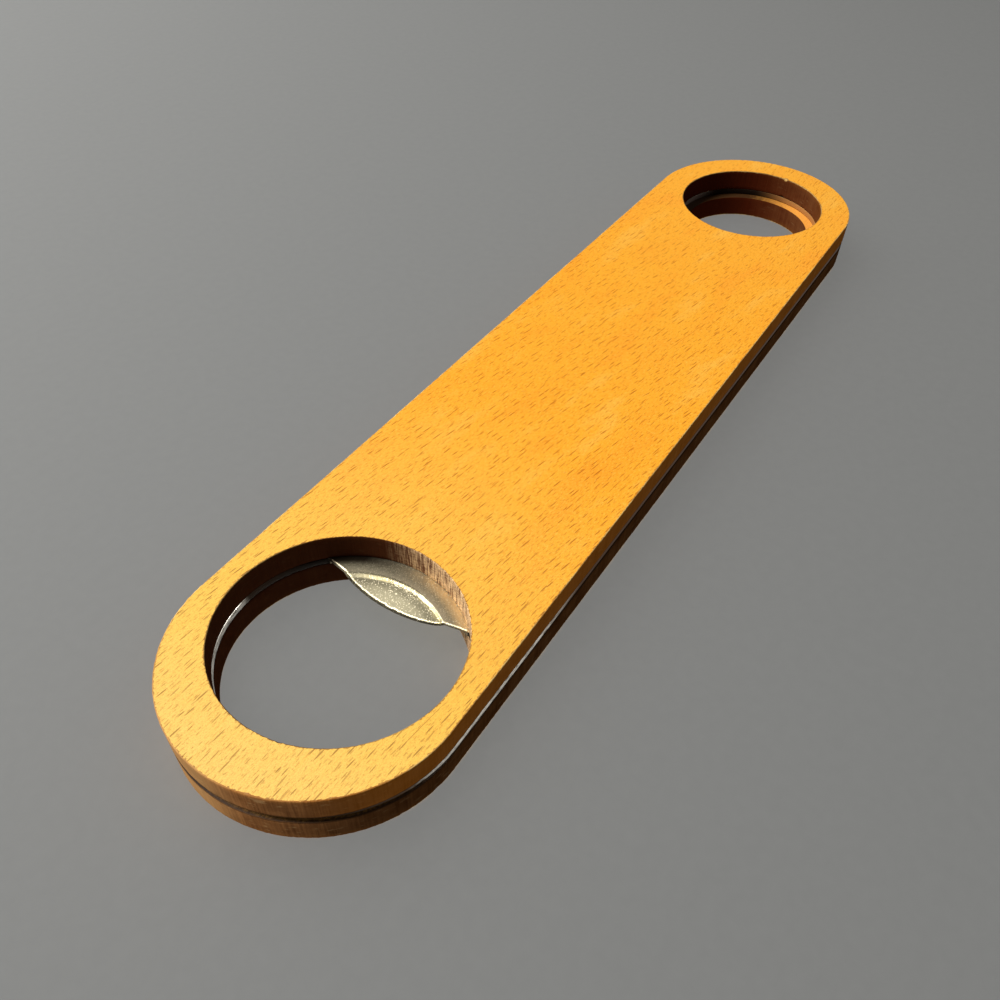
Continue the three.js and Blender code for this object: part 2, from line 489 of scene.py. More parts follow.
class Graph:
    """A material's nodes, with one short call for each kind; places are in millimetres."""

    def __init__(self, name):
        self.material = bpy.data.materials.new(name)
        self.material.use_nodes = True
        self.tree = self.material.node_tree
        self.shader = self.tree.nodes["Principled BSDF"]
        coordinates = self.tree.nodes.new("ShaderNodeTexCoord").outputs["Object"]
        self.place = self.vector("SCALE", coordinates, scale=1 / MM)

    def plug(self, value, socket):
        if isinstance(value, bpy.types.NodeSocket):
            self.tree.links.new(value, socket)
        else:
            socket.default_value = value

    def set(self, name, value):
        self.plug(value, self.shader.inputs[name])

    def math(self, operation, a, b=0.0, clamp=False):
        node = self.tree.nodes.new("ShaderNodeMath")
        node.operation = operation
        node.use_clamp = clamp
        self.plug(a, node.inputs[0])
        self.plug(b, node.inputs[1])
        return node.outputs[0]

    def plus(self, a, b):
        return self.math("ADD", a, b)

    def minus(self, a, b, clamp=False):
        return self.math("SUBTRACT", a, b, clamp)

    def times(self, a, b):
        return self.math("MULTIPLY", a, b)

    def lower(self, a, b):
        return self.math("MINIMUM", a, b)

    def higher(self, a, b):
        return self.math("MAXIMUM", a, b)

    def apart(self, a, b):
        """How far apart two numbers are."""
        return self.math("ABSOLUTE", self.minus(a, b))

    def vector(self, operation, a, b=(0.0, 0.0, 0.0), scale=1.0):
        node = self.tree.nodes.new("ShaderNodeVectorMath")
        node.operation = operation
        self.plug(a, node.inputs[0])
        self.plug(b, node.inputs[1])
        node.inputs[3].default_value = scale
        return node.outputs["Value" if operation in ("LENGTH", "DISTANCE") else "Vector"]

    def split(self, vector):
        node = self.tree.nodes.new("ShaderNodeSeparateXYZ")
        self.plug(vector, node.inputs[0])
        return node.outputs

    def join(self, x, y, z):
        node = self.tree.nodes.new("ShaderNodeCombineXYZ")
        for value, socket in zip((x, y, z), node.inputs):
            self.plug(value, socket)
        return node.outputs[0]

    def noise(self, place, size, detail=2.0, roughness=0.5):
        """Noise from 0 to 1 whose features are about size = (x, y, z) millimetres."""
        node = self.tree.nodes.new("ShaderNodeTexNoise")
        self.plug(self.vector("DIVIDE", place, size), node.inputs["Vector"])
        node.inputs["Scale"].default_value = 1.0
        node.inputs["Detail"].default_value = detail
        node.inputs["Roughness"].default_value = roughness
        return node.outputs[0]

    def dashes(self, place, cell, half_length, half_width, share):
        """Spindle-shaped dashes along X, at most one in each cell; 1 in a dash and 0 around it.

        half_length and half_width are (least, most), and share is how many cells hold a dash.
        """
        node = self.tree.nodes.new("ShaderNodeTexVoronoi")
        node.voronoi_dimensions = "2D"
        node.inputs["Scale"].default_value = 1.0
        cells = self.vector("DIVIDE", place, (*cell, 1.0))
        self.plug(cells, node.inputs["Vector"])
        offset = self.vector("SUBTRACT", cells, node.outputs["Position"])
        offset = self.vector("MULTIPLY", offset, (*cell, 0.0))
        chance, size, strength = self.split(node.outputs["Color"])
        dx, dy, _ = self.split(offset)
        dy = self.plus(dy, self.times(dx, self.fit(strength, 0.0, 1.0, -0.05, 0.05)))
        along = self.math("DIVIDE", dx, self.fit(size, 0.0, 1.0, *half_length))
        across = self.math("DIVIDE", dy, self.fit(size, 0.0, 1.0, *half_width))
        away = self.vector("LENGTH", self.join(along, across, 0.0))
        shape = self.fit(away, 1.0, 0.45, 0.0, 1.0, smooth=True)
        kept = self.math("LESS_THAN", chance, share)
        return self.times(self.times(shape, kept), self.fit(strength, 0.0, 1.0, 0.6, 1.0))

    def fit(self, value, low, high, to_low, to_high, smooth=False):
        """A value that runs from low to high, made to run from to_low to to_high and no further."""
        node = self.tree.nodes.new("ShaderNodeMapRange")
        node.interpolation_type = "SMOOTHSTEP" if smooth else "LINEAR"
        self.plug(value, node.inputs["Value"])
        node.inputs["From Min"].default_value = low
        node.inputs["From Max"].default_value = high
        node.inputs["To Min"].default_value = to_low
        node.inputs["To Max"].default_value = to_high
        return node.outputs[0]

    def mix(self, amount, a, b, blend="MIX"):
        node = self.tree.nodes.new("ShaderNodeMix")
        node.data_type = "RGBA"
        node.blend_type = blend
        self.plug(amount, node.inputs[0])
        for color, socket in ((a, node.inputs[6]), (b, node.inputs[7])):
            self.plug((*color, 1.0) if isinstance(color, tuple) else color, socket)
        return node.outputs[2]

    def bump(self, height, distance, strength=1.0):
        """Height from 0 to 1, standing up to distance millimetres."""
        node = self.tree.nodes.new("ShaderNodeBump")
        node.inputs["Distance"].default_value = distance * MM
        node.inputs["Strength"].default_value = strength
        self.plug(height, node.inputs["Height"])
        self.set("Normal", node.outputs[0])

    def from_rim(self, hanging_radius):
        """Distance in from the nearest cut edge of a scale."""
        x, y, _ = self.split(self.place)
        flat = self.join(x, y, 0.0)
        straight = HALF_LENGTH - HALF_WIDTH
        along = self.lower(self.higher(x, -straight), straight)
        side = self.minus(HALF_WIDTH, self.vector("DISTANCE", flat, self.join(along, 0.0, 0.0)))
        cap = self.minus(self.vector("DISTANCE", flat, (CAP_X, 0.0, 0.0)), CAP_RADIUS)
        hanging = self.minus(self.vector("DISTANCE", flat, (HANGING_X, 0.0, 0.0)), hanging_radius)
        return self.lower(side, self.lower(cap, hanging))


# The beech: colours are linear red, green and blue.
GOLD = (0.95, 0.425, 0.024)
PALE_GOLD = (0.93, 0.615, 0.130)
# straw: a painted sheen towards the head's tip
HEAD_SHEEN_STRAW = (0.93, 0.66, 0.24)
ORANGE = (0.94, 0.36, 0.020)
FLECK = (0.46, 0.130, 0.001)
HEAD_FLECK = (0.33, 0.165, 0.030)
LEDGE_TOAST = (0.84, 0.37, 0.09)
# painted shadow on the ledge
LEDGE_SHADOW_PAINT = (0.020, 0.007, 0.003)

# Flecks: the cell that each lies in, its least and most half length, its least and most half width,
# and the share of cells that hold one.
RAYS = ((3.2, 1.1), (0.60, 1.45), (0.09, 0.135), 0.88)
SMALL_RAYS = ((1.25, 0.56), (0.22, 0.62), (0.07, 0.13), 0.9)
STREAKS = ((26.0, 9.0), (3.0, 8.0), (0.05, 0.07), 0.7)

GRAIN_DRIFT = 18.0          # how far the grain runs aslant across the scales, end to end
SWAY = 0.9                  # and how far it weaves to either side
LAYER_RATE = 0.61           # layers in a millimetre of height, so that every face has a grain of its own
LAYER_LIFT = 0.3            # keeps the faces clear of the layers' borders
LAYER_STEP = 23.7           # how far apart neighbouring layers' grains are taken


def beech_colors(graph, shift):
    """The oiled beech: cloudy gold with ray flecks, paler towards the head, less so on its -y side; that
    paleness is partly wood colour and partly a painted sheen.

    shift moves the grain along. Returns the colour, the relief for the bump, and the flecks from 0 to 1.
    """
    x, y, z = graph.split(graph.place)
    near_head = graph.minus(x, graph.times(graph.lower(y, 0.0), 0.6))
    layer = graph.math("FLOOR", graph.times(graph.plus(z, LAYER_LIFT), LAYER_RATE))
    layer = graph.times(layer, LAYER_STEP)
    sway = graph.noise(graph.place, (34.0, 26.0, 40.0), 1.0)
    y = graph.plus(y, graph.fit(sway, 0.0, 1.0, -SWAY, SWAY))
    y = graph.plus(y, graph.fit(x, -HALF_LENGTH, HALF_LENGTH, 0.0, GRAIN_DRIFT, smooth=True))
    grain = graph.join(graph.plus(x, graph.plus(layer, shift)), graph.plus(y, layer), 0.0)

    cloud = graph.noise(grain, (17.0, 6.0, 1.0), 3.0, 0.55)
    fibre = graph.noise(grain, (5.5, 0.28, 1.0), 3.0, 0.6)
    speckle = graph.noise(grain, (0.55, 0.22, 1.0), 2.0, 0.6)
    color = graph.mix(graph.fit(cloud, 0.48, 0.72, 0.0, 0.78, smooth=True), GOLD, ORANGE)
    color = graph.mix(graph.fit(cloud, 0.46, 0.30, 0.0, 0.3, smooth=True), color, PALE_GOLD)
    # Paler towards the head, less so on its -y side, and straw at the tip: partly the wood's colour, partly
    # a painted sheen where the light glances off the head.
    color = graph.mix(graph.fit(near_head, -10.0, -80.0, 0.0, 0.9, smooth=True), color, PALE_GOLD)
    color = graph.mix(graph.fit(x, -70.0, -92.0, 0.0, 0.45, smooth=True), color, HEAD_SHEEN_STRAW)
    fleck = graph.mix(graph.fit(x, -20.0, -75.0, 0.0, 1.0, smooth=True), FLECK, HEAD_FLECK)
    color = graph.mix(graph.fit(x, 30.0, 90.0, 0.0, 0.14), color, PALE_GOLD)
    color = graph.mix(graph.fit(fibre, 0.35, 0.75, 0.0, 0.30), color, ORANGE)
    color = graph.mix(graph.fit(speckle, 0.48, 0.28, 0.0, 0.42), color, PALE_GOLD)
    color = graph.mix(graph.fit(speckle, 0.54, 0.80, 0.0, 0.50), color, fleck)
    dust = graph.noise(grain, (0.20, 0.14, 1.0), 1.0)
    color = graph.mix(graph.fit(dust, 0.45, 0.80, 0.0, 0.42), color, fleck)

    rays = graph.dashes(grain, *RAYS)
    small_rays = graph.dashes(graph.vector("ADD", grain, (3.1, 7.7, 0.0)), *SMALL_RAYS)
    streaks = graph.dashes(graph.vector("ADD", grain, (11.0, 2.9, 0.0)), *STREAKS)
    marks = graph.higher(rays, graph.times(small_rays, 0.52))
    marks = graph.higher(marks, graph.times(streaks, 0.7))
    marks = graph.times(marks, graph.fit(x, 0.0, 70.0, 1.0, 0.82))
    color = graph.mix(graph.times(marks, 0.9), color, fleck)
    depth = graph.plus(graph.times(marks, -0.7), graph.times(fibre, 0.3))
    return color, graph.plus(depth, graph.times(speckle, 0.25)), marks


def beech_face_material(name, shift, hanging_radius, scorch, ledge_shadow=0.0):
    """A scale's face, scorched near the cut edges.

    scorch is its colour, its width and its strength. The last argument is how dark the painted shadow is on
    the
    +y side of the ledge in the hanging hole, where the upper scale shades it; a face that has it is
    toast-coloured all over.
    """
    scorch_color, scorch_width, scorch_amount = scorch
    graph = Graph(name)
    color, depth, marks = beech_colors(graph, shift)
    rag = graph.noise(graph.place, (0.45, 0.45, 5.0), 2.0)
    rim = graph.plus(graph.from_rim(hanging_radius), graph.fit(rag, 0.3, 0.7, -0.15, 0.15))
    toast = graph.fit(rim, 0.12, 0.12 + scorch_width, scorch_amount, 0.0, smooth=True)
    if ledge_shadow:
        color = graph.mix(0.6, color, LEDGE_TOAST)
    color = graph.mix(toast, color, scorch_color)
    # Painted shadow on the ledge towards +y, where the upper scale's wall shades it from the key.
    if ledge_shadow:
        _, y, _ = graph.split(graph.place)
        ledge_shade = graph.plus(y, graph.fit(rag, 0.3, 0.7, -1.0, 1.0))
        ledge_shade = graph.times(graph.fit(ledge_shade, -7.0, 5.0, 0.0, 1.0, smooth=True), ledge_shadow)
        color = graph.mix(ledge_shade, color, LEDGE_SHADOW_PAINT)
    graph.set("Base Color", color)
    graph.set("Roughness", graph.fit(graph.plus(depth, marks), -0.2, 0.9, 0.42, 0.60))
    graph.shader.inputs["Specular IOR Level"].default_value = 0.35
    graph.bump(depth, 0.03)
    return graph.material


# The scales' cut walls.
DARK_CHAR = (0.155, 0.060, 0.021)
LIGHT_CHAR = (0.40, 0.180, 0.066)
WEAVE_TAN = (0.45, 0.23, 0.085)
AMBER = (0.50, 0.19, 0.035)
CHIP_TAN = (0.52, 0.31, 0.14)
LIT_TIP_TAN = (0.62, 0.37, 0.16)
SEAM_BROWN = (0.045, 0.022, 0.011)
CAP_SOOT_AND_SHADE = (0.046, 0.013, 0.006)
HANGING_SOOT_AND_SHADE = (0.058, 0.009, 0.003)
LIT_WALL_DARK = (0.150, 0.070, 0.040)
LIT_WALL_PALE = (0.92, 0.63, 0.36)
BARE_WOOD_AND_HIGHLIGHT = (0.92, 0.62, 0.22)

HEAD_TURN_X = (-74.0, -84.0)    # the amber and the bare edge, partly a painted highlight, fade between these, towards the head
WALL_MARGIN = 0.5               # how far outside a hole's radius a place still counts as its wall


def charred_edge_material(name, face_z, seam_z, hanging_radius, shaded_side_color):
    """A laser-cut wall: faint upright scorch lines, amber near the open face, blackened inside the holes by
    burning and painted shade, with painted light where the key falls on it and painted shade on the long -y
    wall.

    face_z and seam_z are the heights of the open face and of the glued one, and the last argument is the
    painted shade that the long -y wall, facing away from the key, turns to.
    """
    graph = Graph(name)
    x, y, z = graph.split(graph.place)
    lines = graph.noise(graph.place, (0.30, 0.30, 9.0), 3.0, 0.6)
    bands = graph.noise(graph.place, (3.4, 3.4, 2.6), 2.0)
    weave = graph.noise(graph.place, (1.4, 1.4, 0.16), 2.0)
    tone = graph.plus(graph.times(lines, 0.5), graph.times(bands, 0.5))
    color = graph.mix(graph.fit(tone, 0.34, 0.66, 0.0, 1.0), DARK_CHAR, LIGHT_CHAR)
    color = graph.mix(graph.fit(weave, 0.52, 0.75, 0.0, 0.22), color, WEAVE_TAN)
    to_face = graph.apart(z, face_z)
    to_seam = graph.apart(z, seam_z)
    glow = graph.fit(to_face, 0.0, 1.1, 0.55, 0.0, smooth=True)
    glow = graph.times(glow, graph.fit(x, *HEAD_TURN_X, 1.0, 0.5))
    color = graph.mix(glow, color, AMBER)
    chips = graph.noise(graph.place, (1.6, 1.6, 0.5), 2.0)
    color = graph.mix(graph.fit(chips, 0.62, 0.70, 0.0, 0.6), color, CHIP_TAN)
    # Painted shade: the long -y wall, facing away from the key, is painted towards a shaded colour, redder
    # on the upper scale and near black on the lower.
    side = graph.fit(y, -9.0, -19.0, 0.0, 0.7, smooth=True)
    color = graph.mix(side, color, shaded_side_color)
    # Painted light: the head's tip on its +y half, which faces the key, is painted a paler tan.
    tip = graph.times(graph.fit(x, -80.0, -86.0, 0.0, 0.5), graph.fit(y, -4.5, 1.5, 0.0, 1.0))
    color = graph.mix(tip, color, LIT_TIP_TAN)

    flat = graph.join(x, y, 0.0)
    from_cap = graph.vector("DISTANCE", flat, (CAP_X, 0.0, 0.0))
    in_cap = graph.math("LESS_THAN", from_cap, CAP_RADIUS + WALL_MARGIN)
    from_hanging = graph.vector("DISTANCE", flat, (HANGING_X, 0.0, 0.0))
    in_hanging = graph.math("LESS_THAN", from_hanging, hanging_radius + WALL_MARGIN)
    seam = graph.minus(graph.fit(to_seam, 0.05, 0.35, 0.75, 0.0, smooth=True), in_hanging, clamp=True)
    color = graph.mix(seam, color, SEAM_BROWN)
    tailward = graph.fit(x, CAP_X + 0.15 * CAP_RADIUS, CAP_X + 0.7 * CAP_RADIUS, 0.0, 1.0, smooth=True)
    beside_tab = graph.times(in_cap, tailward)
    # Painted light: the cap hole's wall beside the tab, towards -y, faces the key and is painted pale with
    # upright stripes, paler further towards -y.
    lit_wall = graph.times(beside_tab, graph.fit(y, 5.0, -2.5, 0.0, 1.0))
    # Soot and painted shade inside the holes: the cap hole's walls darker all round, the hanging hole's
    # darker towards +y, away from the key.
    hanging_soot_and_shade = graph.times(in_hanging, graph.fit(y, -12.0, 4.0, 0.68, 0.985))
    wall_soot_and_shade = graph.higher(graph.times(in_cap, 0.93), hanging_soot_and_shade)
    color = graph.mix(wall_soot_and_shade, color, graph.mix(in_hanging, CAP_SOOT_AND_SHADE, HANGING_SOOT_AND_SHADE))
    stripes = graph.noise(graph.place, (0.20, 0.20, 3.5), 2.0, 0.6)
    slant = graph.join(graph.plus(x, z), graph.minus(y, z), graph.plus(z, y))
    stripes = graph.plus(stripes, graph.times(graph.noise(slant, (0.13, 1.1, 1.1), 1.0), 0.4))
    stripes = graph.plus(stripes, graph.fit(y, 2.0, -8.0, 0.02, 0.08))
    wood = graph.mix(graph.fit(stripes, 0.64, 0.90, 0.0, 1.0), LIT_WALL_DARK, LIT_WALL_PALE)
    color = graph.mix(lit_wall, color, wood)

    # Bare wood along the top arris and at the nick; along the arris it is partly a painted highlight.
    edge = graph.plus(to_face, graph.fit(lines, 0.3, 0.7, 0.10, -0.10))
    bare = graph.fit(edge, 0.06, 0.20, 0.9, 0.0, smooth=True)
    holes = graph.higher(in_cap, in_hanging)
    bare = graph.times(bare, graph.fit(graph.plus(holes, beside_tab), 0.0, 2.0, 1.0, 0.0))
    bare = graph.times(bare, graph.fit(bands, 0.38, 0.58, 0.35, 1.0))
    bare = graph.times(bare, graph.fit(x, *HEAD_TURN_X, 1.0, 0.08, smooth=True))
    from_nick = graph.vector("DISTANCE", graph.place, (*NICK, TOP_HIGH.z))
    bare = graph.higher(bare, graph.fit(from_nick, NICK_SIZE * 0.6, NICK_SIZE * 1.3, 0.7, 0.0))
    graph.set("Base Color", graph.mix(bare, color, BARE_WOOD_AND_HIGHLIGHT))
    graph.set("Roughness", graph.fit(tone, 0.3, 0.7, 0.42, 0.7))
    graph.shader.inputs["Specular IOR Level"].default_value = 0.0
    graph.bump(graph.plus(lines, graph.times(weave, 0.4)), 0.04)
    return graph.material


# The steel's faces.
DARK_STEEL = (0.33, 0.31, 0.235)
LIGHT_STEEL = (0.66, 0.62, 0.465)
LIP_STEEL = (0.30, 0.28, 0.20)
LIP_SHADE = (0.09, 0.08, 0.05)
BEND_STEEL = (0.30, 0.26, 0.13)
BURR_GROUND = (0.22, 0.20, 0.13)
BEND_HIGHLIGHT = (0.95, 0.86, 0.66)
SPECK = (0.93, 0.87, 0.68)
PAINTED_WOOD_REFLECTION = (0.92, 0.74, 0.44)
PAINTED_RIM_SHADOW = (0.020, 0.012, 0.008)

STEP_FOOT_RADIUS = LIP_BEND_RADIUS - LIP_STEP_WIDTH     # where the pressed step ends, on the lip
BURR_HALF_RUN = 2.8                                     # the burrs lie this near the centre line


def steel_face_material():
    """Satin stainless steel: fine rolled grain, pits, bright specks, and burrs along the lip's bend, with a
    painted highlight past the bend and, by the cap hole's rim, a painted reflection of the wood and a
    painted shadow.
    """
    graph = Graph("steel_face")
    grain = graph.noise(graph.place, (1.6, 0.10, 0.3), 3.0, 0.6)
    mottle = graph.noise(graph.place, (0.55, 0.5, 0.5), 3.0, 0.65)
    pits = graph.noise(graph.place, (0.12, 0.12, 0.2), 1.0)
    tone = graph.plus(graph.times(mottle, 0.5), graph.times(pits, 0.5))
    color = graph.mix(graph.fit(tone, 0.38, 0.62, 0.0, 1.0), DARK_STEEL, LIGHT_STEEL)
    specks = graph.noise(graph.place, (0.17, 0.17, 0.2), 0.0)
    specks = graph.fit(specks, 0.66, 0.73, 0.0, 0.9)
    x, y, _ = graph.split(graph.place)
    from_cap = graph.vector("DISTANCE", graph.join(x, y, 0.0), (CAP_X, 0.0, 0.0))
    on_lip = graph.fit(from_cap, STEP_FOOT_RADIUS, STEP_FOOT_RADIUS - 0.3, 0.0, 0.70)
    color = graph.mix(on_lip, color, LIP_STEEL)
    on_bend = graph.apart(from_cap, LIP_BEND_RADIUS - LIP_STEP_WIDTH / 2)
    lip_shade = graph.fit(from_cap, STEP_FOOT_RADIUS - 1.55, STEP_FOOT_RADIUS - 0.45, 0.0, 0.5, smooth=True)
    lip_shade = graph.times(lip_shade, graph.math("LESS_THAN", from_cap, STEP_FOOT_RADIUS))
    color = graph.mix(lip_shade, color, LIP_SHADE)
    bend = graph.fit(on_bend, LIP_STEP_WIDTH * 0.4, LIP_STEP_WIDTH * 0.7, 1.0, 0.0)
    bend = graph.times(bend, graph.fit(y, 8.0, 3.0, 0.15, 0.72))
    color = graph.mix(bend, color, BEND_STEEL)
    # Painted highlight: a cream band just past the lip's bend, where the bend catches the key.
    bend_highlight = graph.fit(from_cap, LIP_BEND_RADIUS + 1.1, LIP_BEND_RADIUS + 0.3, 0.0, 0.40)
    past_bend = graph.math("GREATER_THAN", from_cap, LIP_BEND_RADIUS + 0.05)
    bend_highlight = graph.times(bend_highlight, past_bend)
    color = graph.mix(bend_highlight, color, BEND_HIGHLIGHT)
    by_rim = graph.fit(from_cap, CAP_RADIUS - 2.1, CAP_RADIUS - 0.5, 0.0, 1.0, smooth=True)
    by_rim = graph.times(by_rim, graph.math("LESS_THAN", from_cap, CAP_RADIUS + 0.6))
    # Painted reflection: by the rim, towards -y, the steel is painted tan for the lit wood wall it mirrors.
    wood_reflection = graph.times(by_rim, graph.fit(y, 1.5, -4.5, 0.0, 0.75))
    color = graph.mix(wood_reflection, color, PAINTED_WOOD_REFLECTION)
    # Painted shadow and painted reflection of the dark wall: by the rim, towards +y, the steel is painted
    # near black and bears no specks.
    dark = graph.times(by_rim, graph.fit(y, 0.5, 7.5, 0.0, 0.95))
    color = graph.mix(dark, color, PAINTED_RIM_SHADOW)
    near = graph.fit(on_bend, 0.35, 0.6, 1.0, 0.0)
    near = graph.times(near, graph.fit(graph.math("ABSOLUTE", y), 1.9, BURR_HALF_RUN, 1.0, 0.0))
    squiggle = graph.noise(graph.place, (0.42, 0.34, 0.5), 1.0)
    burrs = graph.times(near, graph.fit(graph.apart(squiggle, 0.5), 0.015, 0.045, 1.0, 0.0))
    color = graph.mix(graph.times(near, 0.8), color, BURR_GROUND)
    specks = graph.minus(graph.higher(specks, burrs), dark, clamp=True)
    graph.set("Base Color", graph.mix(specks, color, SPECK))
    graph.set("Metallic", graph.fit(specks, 0.0, 1.0, 1.0, 0.6))
    graph.set("Roughness", graph.fit(tone, 0.35, 0.65, 0.48, 0.38))
    height = graph.plus(graph.times(grain, 0.3), graph.times(pits, 0.7))
    graph.bump(graph.plus(height, graph.times(burrs, 6.0)), 0.014)
    return graph.material


# The steel's cut edges.
DULL_EDGE = (0.22, 0.20, 0.17)
BRIGHT_EDGE = (0.90, 0.87, 0.80)
SMOKED_SHADE = (0.034, 0.017, 0.009)
HOLE_SOOT_AND_SHADE = (0.012, 0.007, 0.004)
HEAD_SOOT_AND_SHADE = (0.060, 0.033, 0.018)
PAINTED_HOLE_SHADE = (0.010, 0.005, 0.003)
PAINTED_LEDGE_REFLECTION = (0.40, 0.190, 0.062)
TAB_EDGE_STEEL = (0.50, 0.455, 0.32)

HEAD_SHADE_X = -74.0        # nearer the head's tip than this, the blade's outer edge is blackened and painted dark for the shade in the recessed seam
EDGE_MARGIN = 0.3           # how far outside a hole's radius a place still counts as its edge


def steel_edge_material():
    """The blade's edge: bright on the head's -y side, stained and painted darker elsewhere, and blackened
    in places.

    The blackened places are the head's tip and both holes, partly soot and partly painted shade; in the
    hanging hole the edge is painted with the lit ledge's reflection towards -y. The cap hole's edge is left
    bright towards the head as a painted glint, and the tab's is bare.
    """
    graph = Graph("steel_edge")
    smear = graph.noise(graph.place, (1.3, 1.3, 0.25), 3.0, 0.6)
    color = graph.mix(graph.fit(smear, 0.38, 0.56, 0.0, 1.0), DULL_EDGE, BRIGHT_EDGE)
    x, y, _ = graph.split(graph.place)
    flat = graph.join(x, y, 0.0)
    from_cap = graph.vector("DISTANCE", flat, (CAP_X, 0.0, 0.0))
    outside = graph.math("GREATER_THAN", from_cap, CAP_RADIUS + EDGE_MARGIN)
    # Darker towards the tail and on the +y side: smoke stain and painted shade, which keeps the edge's
    # glint to the head's -y side.
    far_side = graph.times(outside, graph.fit(y, -9.0, -2.0, 0.0, 1.0))
    smoke_and_shade = graph.higher(graph.fit(x, -62.0, -38.0, 0.0, 1.0, smooth=True), far_side)
    color = graph.mix(smoke_and_shade, color, SMOKED_SHADE)
    from_hanging = graph.vector("DISTANCE", flat, (HANGING_X, 0.0, 0.0))
    in_cap = graph.math("LESS_THAN", from_cap, CAP_RADIUS + EDGE_MARGIN)
    in_hanging = graph.math("LESS_THAN", from_hanging, HANGING_RADIUS + EDGE_MARGIN)
    # Painted glint: towards the head the cap hole's edge is left clear of the dark, so it shows bright.
    painted_glint = graph.times(in_cap, graph.fit(x, CAP_X + 0.5, CAP_X - 2.5, 0.0, 0.6, smooth=True))
    hole_soot_and_shade = graph.minus(in_cap, painted_glint)
    head_soot_and_shade = graph.times(outside, graph.fit(x, HEAD_SHADE_X, HEAD_SHADE_X - 3.0, 0.0, 1.0))
    # Soot and painted shade on the edge in the cap hole, where it mirrors the shaded wall and floor.
    color = graph.mix(hole_soot_and_shade, color, HOLE_SOOT_AND_SHADE)
    # Soot and painted shade on the head's tip, for the shade in the recessed seam.
    color = graph.mix(graph.times(head_soot_and_shade, 0.97), color, HEAD_SOOT_AND_SHADE)
    # Painted reflection and painted shade in the hanging hole: pale brown towards -y, where the edge
    # mirrors the lit ledge, near black towards +y.
    ledge_reflection_and_shade = graph.mix(graph.fit(y, 4.0, -7.0, 0.0, 1.0, smooth=True), PAINTED_HOLE_SHADE, PAINTED_LEDGE_REFLECTION)
    color = graph.mix(in_hanging, color, ledge_reflection_and_shade)
    edge_soot_and_shade = graph.higher(graph.higher(hole_soot_and_shade, head_soot_and_shade), in_hanging)
    on_tab = graph.fit(from_cap, CAP_RADIUS - 0.05, CAP_RADIUS - 0.25, 0.0, 1.0)
    graph.set("Base Color", graph.mix(on_tab, color, TAB_EDGE_STEEL))
    covered = graph.times(graph.higher(smoke_and_shade, in_hanging), 0.8)
    bare = graph.minus(graph.fit(on_tab, 0.0, 1.0, 0.8, 0.3), covered, clamp=True)
    graph.set("Metallic", bare)
    graph.shader.inputs["Specular IOR Level"].default_value = 0.08
    polish = graph.fit(smear, 0.35, 0.7, 0.42, 0.28)
    dull = graph.higher(graph.times(on_tab, 0.5), graph.times(edge_soot_and_shade, 0.75))
    graph.set("Roughness", graph.higher(polish, dull))
    graph.bump(smear, 0.01)
    return graph.material


GLUE_BLACK = (0.018, 0.010, 0.006)
GLUE_BROWN = (0.07, 0.038, 0.018)


def glue_material():
    """Dried glue, squeezed out dark and uneven."""
    graph = Graph("glue")
    smear = graph.noise(graph.place, (1.1, 1.1, 0.4), 3.0)
    color = graph.mix(graph.fit(smear, 0.4, 0.65, 0.0, 1.0), GLUE_BLACK, GLUE_BROWN)
    graph.set("Base Color", color)
    graph.set("Roughness", graph.fit(smear, 0.35, 0.65, 0.3, 0.6))
    graph.bump(smear, 0.04)
    return graph.material


FLOOR_GREY = (0.262, 0.268, 0.268)
FLOOR_PALE = (0.270, 0.276, 0.276)


def floor_material():
    """Pale matt grey above, and clear from below, so the underside can be looked at."""
    graph = Graph("floor")
    tooth = graph.noise(graph.place, (1.8, 1.8, 1.8), 2.0)
    color = graph.mix(graph.fit(tooth, 0.3, 0.7, 0.0, 1.0), FLOOR_GREY, FLOOR_PALE)
    graph.set("Base Color", color)
    graph.set("Roughness", 0.75)
    nodes = graph.tree.nodes
    clear = nodes.new("ShaderNodeBsdfTransparent")
    from_below = nodes.new("ShaderNodeNewGeometry").outputs["Backfacing"]
    both = nodes.new("ShaderNodeMixShader")
    graph.plug(from_below, both.inputs[0])
    graph.plug(graph.shader.outputs[0], both.inputs[1])
    graph.plug(clear.outputs[0], both.inputs[2])
    graph.plug(both.outputs[0], nodes["Material Output"].inputs["Surface"])
    return graph.material


# Colour, width and strength.
LIGHT_SCORCH = ((0.20, 0.075, 0.020), 0.10, 0.65)
# On the glued faces a wide scorch, which also stands in for the shade in the seam between the scales:
# partly painted shade.
SEAM_SCORCH_AND_SHADE = ((0.045, 0.020, 0.008), 1.1, 1.0)

# The painted shade of the long -y walls: redder on the upper scale, near black on the lower.
SHADED_WARM_CHAR = (0.42, 0.135, 0.010)
SHADED_BLACK_CHAR = (0.034, 0.009, 0.001)
NO_HOLE = 0.0               # for a face whose hanging hole's edge isn't scorched

beech_top = beech_face_material("beech_top", 0.0, HANGING_RADIUS, LIGHT_SCORCH)
beech_bottom = beech_face_material("beech_bottom", 57.0, LEDGE_RADIUS, LIGHT_SCORCH)
glued_top = beech_face_material("glued_top", 31.0, HANGING_RADIUS, SEAM_SCORCH_AND_SHADE)
glued_bottom = beech_face_material("glued_bottom", 83.0, NO_HOLE, SEAM_SCORCH_AND_SHADE, 0.97)
char_top = charred_edge_material("char_top", TOP_HIGH.z, TOP_LOW.z, HANGING_RADIUS, SHADED_WARM_CHAR)
char_bottom = charred_edge_material("char_bottom", BOTTOM_LOW.z, BOTTOM_HIGH.z, LEDGE_RADIUS, SHADED_BLACK_CHAR)
steel_face = steel_face_material()
steel_edge = steel_edge_material()
glue = glue_material()
floor_paint = floor_material()

# ---------- pieces ----------

TOP_SEED = 3.0              # each scale's own ridges and chips
BOTTOM_SEED = 17.0

